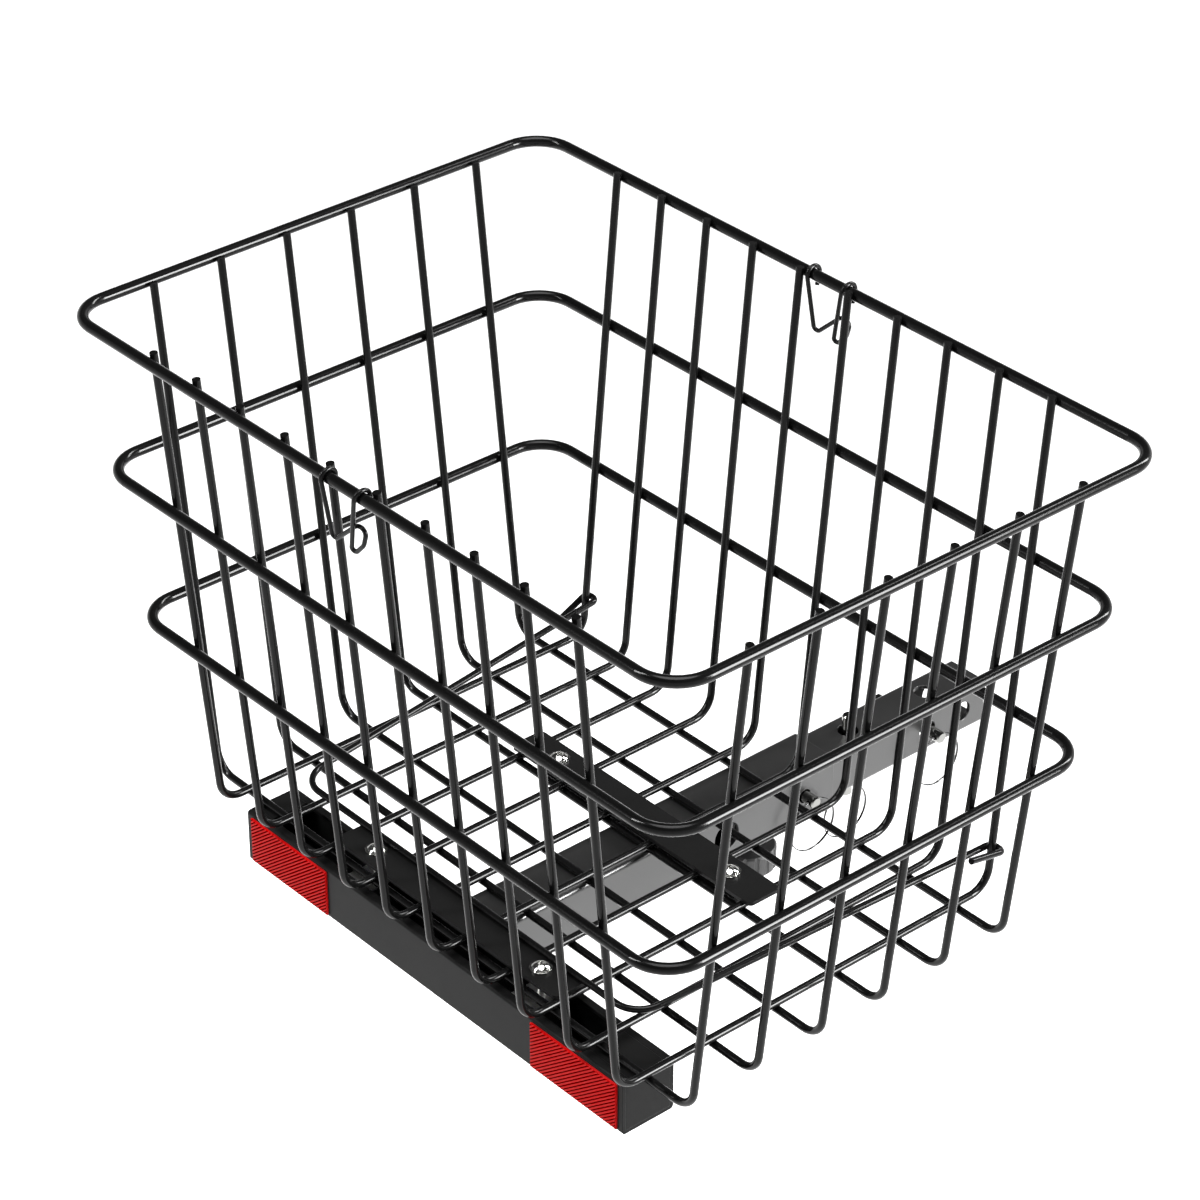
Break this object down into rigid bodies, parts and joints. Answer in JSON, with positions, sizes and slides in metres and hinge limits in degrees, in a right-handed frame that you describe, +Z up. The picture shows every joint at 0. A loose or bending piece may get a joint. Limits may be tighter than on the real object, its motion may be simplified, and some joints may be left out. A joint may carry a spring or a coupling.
{
  "type": "bicycle carrier basket",
  "caption": "Tapered black wire basket with a fold-up bail, rim clips, red reflectors and a square receiver tube that slides on a pinned hitch bar.",
  "frame": {"origin": "centre of the cross hole nearest the hitch end of the extension bar", "axes": "+X along the basket's long side and the cross holes, +Y out of the bar's open end, +Z up"},
  "size_m": [0.4254, 0.3995, 0.3322],
  "materials": {
    "coated_wire": "gloss black powder coat",
    "coated_sheet": "satin black powder coat",
    "coated_tube": "satin black powder coat",
    "chrome_hardware": "bright chrome plate",
    "zinc_hardware": "bright zinc plate",
    "polished_steel": "polished steel",
    "spring_steel": "bright spring wire",
    "knob_plastic": "moulded black plastic",
    "red_lens": "moulded red prismatic reflector",
    "reflector_back": "moulded red plastic"
  },
  "bodies": {
    "basket_frame": {"top_rim": "coated_wire", "middle_ring": "coated_wire", "lower_ring": "coated_wire", "depth_wire_01": "coated_wire", "depth_wire_02": "coated_wire", "depth_wire_03": "coated_wire", "depth_wire_04": "coated_wire", "depth_wire_05": "coated_wire", "depth_wire_06": "coated_wire", "depth_wire_07": "coated_wire", "depth_wire_08": "coated_wire", "depth_wire_09": "coated_wire", "depth_wire_10": "coated_wire", "length_wire_1": "coated_wire", "length_wire_2": "coated_wire", "length_wire_3": "coated_wire", "length_wire_4": "coated_wire", "length_wire_5": "coated_wire", "length_wire_6": "coated_wire", "reflector_channel": "coated_sheet", "channel_cap_left": "coated_sheet", "channel_cap_right": "coated_sheet", "reflector_back_left": "reflector_back", "reflector_back_right": "reflector_back", "reflector_lens_left": "red_lens", "reflector_lens_right": "red_lens", "front_clamp_plate": "coated_sheet", "middle_clamp_plate": "coated_sheet", "clamp_ear_left": "coated_sheet", "clamp_ear_right": "coated_sheet", "slot_nuts": "zinc_hardware", "clamp_screws": "chrome_hardware", "clamp_washers": "chrome_hardware", "receiver_tube": "coated_tube", "extension_bar": "coated_tube", "knob_weld_nut": "coated_tube"},
    "bail_wire": {"bail": "coated_wire"},
    "front_clip": {"front_rim_clip": "coated_wire"},
    "back_clip": {"back_rim_clip": "coated_wire"},
    "ring_pin_a": {"pin_a": "polished_steel", "pin_a_spring": "spring_steel"},
    "detent_ball_a": {"pin_a_ball": "polished_steel"},
    "key_ring_a": {"ring_a": "polished_steel"},
    "ring_pin_b": {"pin_b": "polished_steel", "pin_b_spring": "spring_steel"},
    "detent_ball_b": {"pin_b_ball": "polished_steel"},
    "key_ring_b": {"ring_b": "polished_steel"},
    "ring_pin_c": {"pin_c": "polished_steel", "pin_c_spring": "spring_steel"},
    "detent_ball_c": {"pin_c_ball": "polished_steel"},
    "key_ring_c": {"ring_c": "polished_steel"},
    "clamp_stud": {"knob_stud": "zinc_hardware"},
    "star_knob": {"knob_head": "knob_plastic"}
  },
  "joints": [
    {"name": "bail_swing", "type": "hinge", "parent": "basket_frame", "child": "bail_wire", "pos_m": [0, -0.11382, 0.04068], "axis": [-1, 0, 0], "range_deg": [0, 88]},
    {"name": "front_clip_swing", "type": "hinge", "parent": "basket_frame", "child": "front_clip", "pos_m": [0, -0.3789, 0.27498], "axis": [-1, 0, 0], "range_deg": [-15, 110]},
    {"name": "back_clip_swing", "type": "hinge", "parent": "basket_frame", "child": "back_clip", "pos_m": [0, -0.0923, 0.27498], "axis": [-1, 0, 0], "range_deg": [-15, 110]},
    {"name": "pin_a_pull", "type": "slide", "parent": "basket_frame", "child": "ring_pin_a", "axis": [1, 0, 0], "range_m": [0, 0.045]},
    {"name": "ball_a_press", "type": "slide", "parent": "ring_pin_a", "child": "detent_ball_a", "axis": [0, 0, 1], "range_m": [0, 0.0005], "stiffness_N_per_m": 1000},
    {"name": "ring_a_swing", "type": "hinge", "parent": "ring_pin_a", "child": "key_ring_a", "pos_m": [0.0206, -0.1129, 0], "axis": [0, -1, 0], "range_deg": [-8, 100]},
    {"name": "pin_b_pull", "type": "slide", "parent": "basket_frame", "child": "ring_pin_b", "axis": [0, 0, -1], "range_m": [0, 0.045]},
    {"name": "ball_b_press", "type": "slide", "parent": "ring_pin_b", "child": "detent_ball_b", "axis": [1, 0, 0], "range_m": [0, 0.0005], "stiffness_N_per_m": 1000},
    {"name": "ring_b_swing", "type": "hinge", "parent": "ring_pin_b", "child": "key_ring_b", "pos_m": [0, -0.0696, -0.02292], "axis": [0, -1, 0], "range_deg": [-90, 90]},
    {"name": "pin_c_pull", "type": "slide", "parent": "basket_frame", "child": "ring_pin_c", "axis": [1, 0, 0], "range_m": [0, 0.045]},
    {"name": "ball_c_press", "type": "slide", "parent": "ring_pin_c", "child": "detent_ball_c", "axis": [0, 0, 1], "range_m": [0, 0.0005], "stiffness_N_per_m": 1000},
    {"name": "ring_c_swing", "type": "hinge", "parent": "ring_pin_c", "child": "key_ring_c", "pos_m": [0.0206, -0.0252, 0], "axis": [0, -1, 0], "range_deg": [-8, 100]},
    {"name": "knob_travel", "type": "slide", "parent": "basket_frame", "child": "clamp_stud", "axis": [0, 0, -1], "range_m": [0, 0.0031]},
    {"name": "knob_turn", "type": "hinge", "parent": "clamp_stud", "child": "star_knob", "pos_m": [0, -0.137, -0.02932], "axis": [0, 0, -1], "range_deg": [0, 1080]}
  ],
  "couplings": [
    {"joint": "knob_travel", "follows": "knob_turn", "m_per_rad": 0.00015915}
  ]
}
